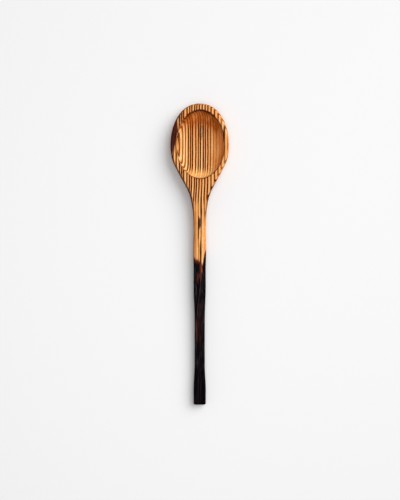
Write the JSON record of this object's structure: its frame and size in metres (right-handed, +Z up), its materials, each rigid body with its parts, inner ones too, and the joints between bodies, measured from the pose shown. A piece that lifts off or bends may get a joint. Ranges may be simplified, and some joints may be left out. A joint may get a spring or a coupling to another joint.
{
  "type": "wooden spoon",
  "caption": "Long-handled wooden cooking spoon with an oval bowl, a crisp-edged hollow, a slim squared handle and a charred handle end.",
  "frame": {"origin": "under the middle of the spoon's length, on the table it lies on", "axes": "+Y from the butt of the handle to the tip of the bowl, +Z up out of the bowl's hollow, +X to the right with the bowl away from the viewer"},
  "size_m": [0.058, 0.3, 0.015],
  "materials": {
    "oiled_wood": "oiled satin, striped grain",
    "charred_wood": "charred and oiled, satin black"
  },
  "bodies": {
    "root": {"carved_wood": "oiled_wood", "char_layer": "charred_wood"}
  },
  "joints": []
}
